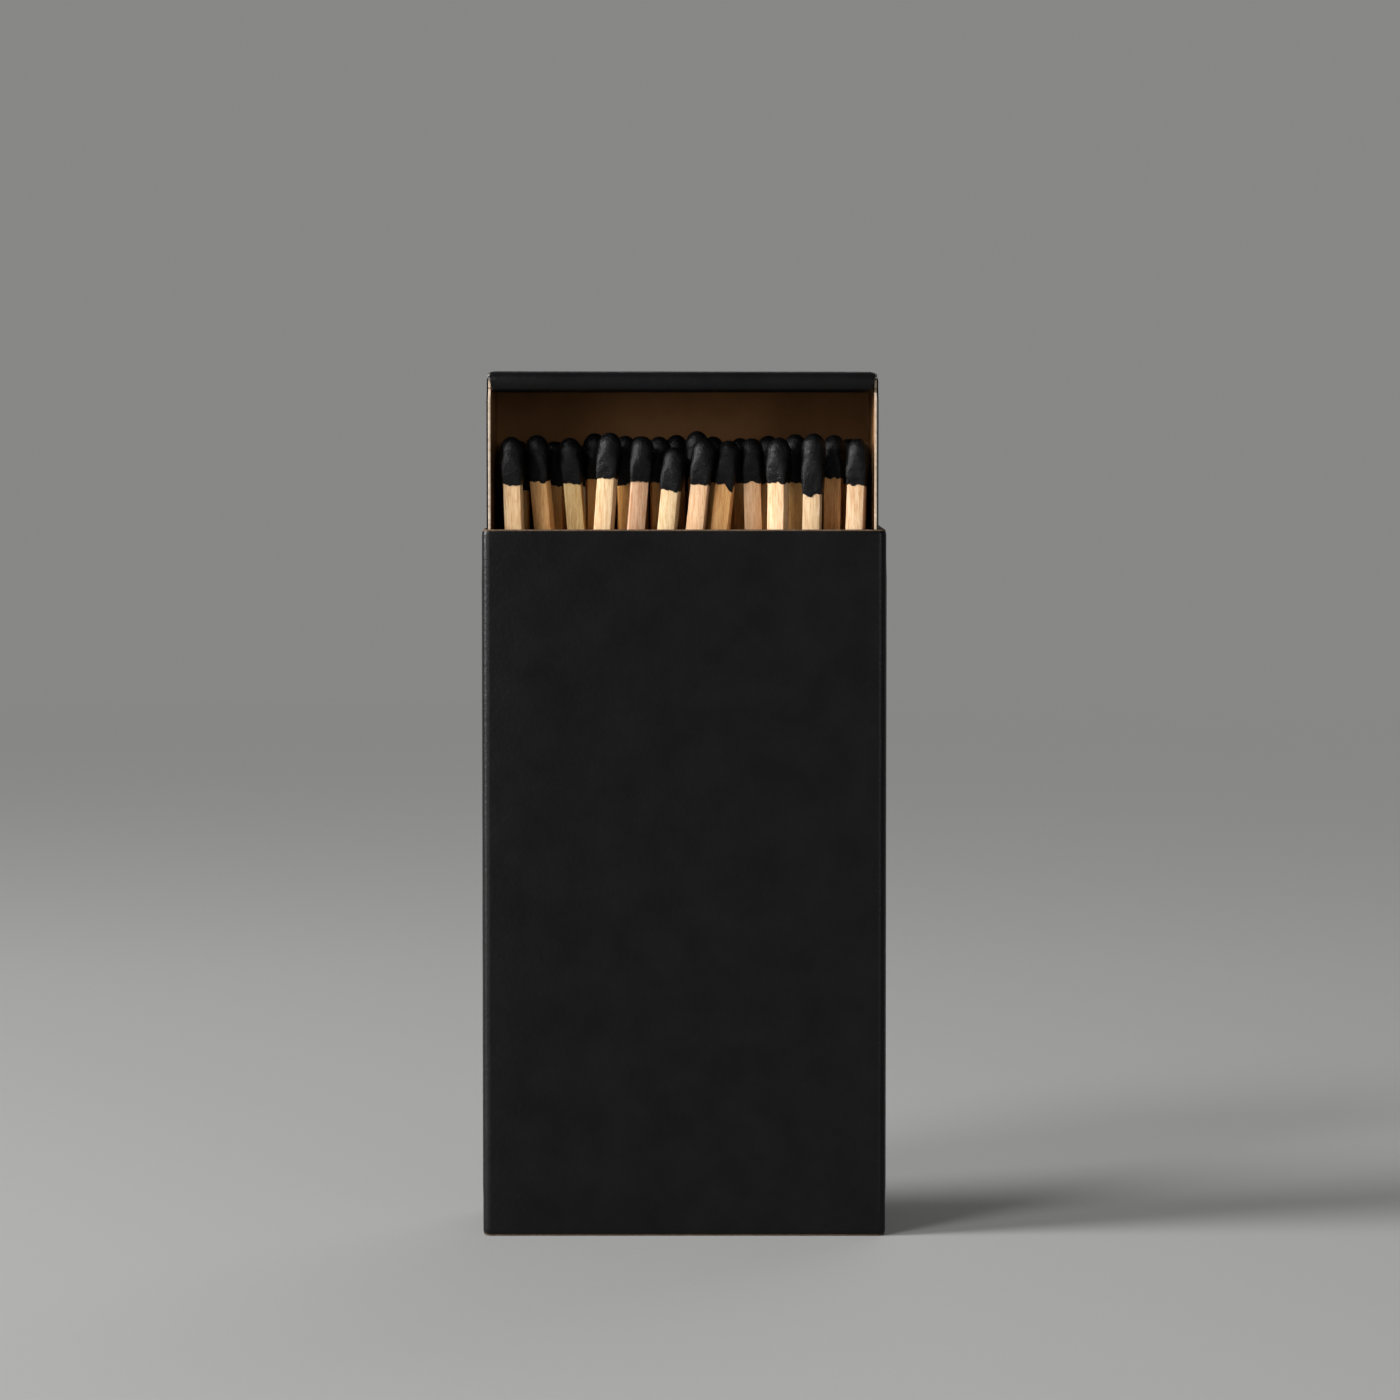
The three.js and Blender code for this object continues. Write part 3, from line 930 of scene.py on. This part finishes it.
def makeHead(bm, foot, length, seed, run):
    head = bmesh.ops.create_uvsphere(
        bm, u_segments=match["around"], v_segments=match["rings"], radius=1,
    )["verts"]
    for vert in head:
        share = math.acos(max(-1, min(1, -vert.co.z))) / math.pi
        angle = math.atan2(vert.co.y, vert.co.x)
        height, radius, squared = headProfile(share, length)
        outward = Vector((math.cos(angle), math.sin(angle), 0))
        power = 2 + 9 * squared ** 1.5
        radius *= (abs(outward.x) ** power + abs(outward.y) ** power) ** (-1 / power)
        edgeDrop = raggedEdge(angle, seed, run) * nearness(height, match["raggedUpTo"] * length)
        point = outward * radius + Vector((0, 0, height + edgeDrop))
        lumps = noise.noise(point * match["lumpWave"] + Vector((seed * 7, 0, 0)))
        fineLumps = noise.noise(point * match["fineLumpWave"] + Vector((0, seed * 7, 0)))
        lumps += match["fineLumpShare"] * fineLumps
        strength = match["lump"] * min(1, max(0, height / 0.8))
        vert.co = point + outward * lumps * strength * min(1, radius) + Vector((0, 0, foot))
    for face in {face for vert in head for face in vert.link_faces}:
        face.material_index = 1


def makeMatch(number):
    node = f"match_{number:02d}"
    place, length, headFoot = placeOf(node)
    rng = random.Random(number * 17)
    bm = bmesh.new()
    makeStick(bm, length - match["tipCover"] * match["tipSink"], number)
    makeHead(bm, headFoot, length - headFoot, number, runs.get(number))
    layer = bm.verts.layers.float_color.new("tint")
    inFront = number <= len(frontTints)
    # Hidden matches take tints that partly paint warm bounce light into the wood.
    name = frontTints[number - 1] if inFront else rng.choice(hiddenTintsWithPaintedBounce)
    tint = [value * rng.uniform(*match["tintSpread"]) for value in tints[name]]
    for vert in bm.verts:
        vert[layer] = (*tint, 1)
    bmesh.ops.transform(bm, verts=bm.verts, matrix=place)
    bmesh.ops.recalc_face_normals(bm, faces=bm.faces[:])
    piece, materials = f"matchstick_{number:02d}", [woodAspen, headCoat]
    return finishPiece(bm, piece, materials, "tray_body", "match_wood", node, sharp=50)


for node in sorted(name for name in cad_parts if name.startswith("match_")):
    makeMatch(int(node[-2:]))
print("matches made")


# Studio: a round pale floor that sweeps up into its wall, and soft lamps
studio = {
    "radius": 2.6,
    "wall": 1.0,
    "sweep": 0.75,
    "sides": 128,
    "sweepSteps": 20,
    "roughness": 0.9,
    "specular": 0.1,
    "mottleSize": 1.6,
    "mottle": 0.97,
    "floor": (0.34, 0.34, 0.335),
    "distance": (0.245, 0.245, 0.241),
    "fadeFrom": 0.33,
    "fadeTo": 1.25,
    "sky": 0.14,
    "aimHeight": 0.055,
}

lamps = {
    "key": {"place": (-0.80, -1.00, 0.95), "size": 0.45, "power": 10},
    "low left": {"place": (-0.80, -1.30, 0.25), "size": 0.5, "power": 3.4},
    "low right": {"place": (0.80, -1.35, 0.25), "size": 0.5, "power": 2.8},
    "side": {"place": (-1.15, -0.30, 0.42), "size": 0.6, "power": 32},
    "back": {"place": (0.5, 1.5, 1.1), "size": 1.2, "power": 7},
}


def makeStudio():
    bm = bmesh.new()
    radius = studio["radius"]
    bmesh.ops.create_cone(
        bm, cap_ends=True, segments=studio["sides"], radius1=radius, radius2=radius,
        depth=studio["wall"], matrix=Matrix.Translation((0, 0, studio["wall"] / 2)),
    )
    lid = [face for face in bm.faces if face.calc_center_median().z > studio["wall"] - 0.01]
    bmesh.ops.delete(bm, geom=lid, context="FACES")
    corner = [
        edge for edge in bm.edges
        if len(edge.link_faces) == 2 and all(vert.co.z < 0.001 for vert in edge.verts)
    ]
    bmesh.ops.bevel(
        bm, geom=corner, offset=studio["sweep"], offset_type="OFFSET",
        segments=studio["sweepSteps"], profile=0.5, affect="EDGES", material=-1,
    )
    reverse(bm)
    mesh = bpy.data.meshes.new("studio floor")
    bm.to_mesh(mesh)
    bm.free()
    mesh.polygons.foreach_set("use_smooth", [True] * len(mesh.polygons))
    mesh.materials.append(makeFloorPaper())
    floor = bpy.data.objects.new("studio_floor", mesh)
    scene.collection.objects.link(floor)


# Floor paper that shows a plain pale distance to the camera, and keeps its shadow nearby.
def makeFloorPaper():
    material, tree, shader = startMaterial("pale floor", studio["roughness"], studio["specular"])
    paper = grain(tree, placeIn(tree), studio["mottleSize"], 3, 0.6)
    darker = tuple(value * studio["mottle"] for value in studio["floor"])
    tree.links.new(mixColour(tree, paper, studio["floor"], darker), shader.inputs["Base Color"])
    away = addNode(tree, "ShaderNodeVectorMath", {"operation": "LENGTH"})
    tree.links.new(addNode(tree, "ShaderNodeTexCoord").outputs["Object"], away.inputs[0])
    far = remap(tree, away.outputs["Value"], studio["fadeFrom"], studio["fadeTo"])
    rays = addNode(tree, "ShaderNodeLightPath").outputs
    seen = combine(tree, rays["Is Camera Ray"], rays["Is Glossy Ray"], "MAXIMUM")
    seen = combine(tree, seen, rays["Is Transmission Ray"], "MAXIMUM")
    glow = addNode(tree, "ShaderNodeEmission", Color=(*studio["distance"], 1), Strength=1.0)
    both = addNode(tree, "ShaderNodeMixShader", Fac=combine(tree, far, seen))
    tree.links.new(shader.outputs["BSDF"], both.inputs[1])
    tree.links.new(glow.outputs["Emission"], both.inputs[2])
    tree.links.new(both.outputs["Shader"], tree.nodes["Material Output"].inputs["Surface"])
    return material


def makeLamp(name, lamp):
    light = bpy.data.lights.new(name, "AREA")
    light.shape = "DISK"
    light.size = lamp["size"]
    light.energy = lamp["power"]
    lampObject = bpy.data.objects.new(name, light)
    lampObject.location = lamp["place"]
    aim = Vector((0, 0, studio["aimHeight"])) - Vector(lamp["place"])
    lampObject.rotation_euler = aim.to_track_quat("-Z", "Y").to_euler()
    lampObject.visible_camera = False
    scene.collection.objects.link(lampObject)


makeStudio()
for name, lamp in lamps.items():
    makeLamp(name + " lamp", lamp)

world = bpy.data.worlds.new("studio air")
world.use_nodes = True
background = world.node_tree.nodes["Background"]
background.inputs["Color"].default_value = (1, 1, 1, 1)
background.inputs["Strength"].default_value = studio["sky"]
scene.world = world
print("studio lit")
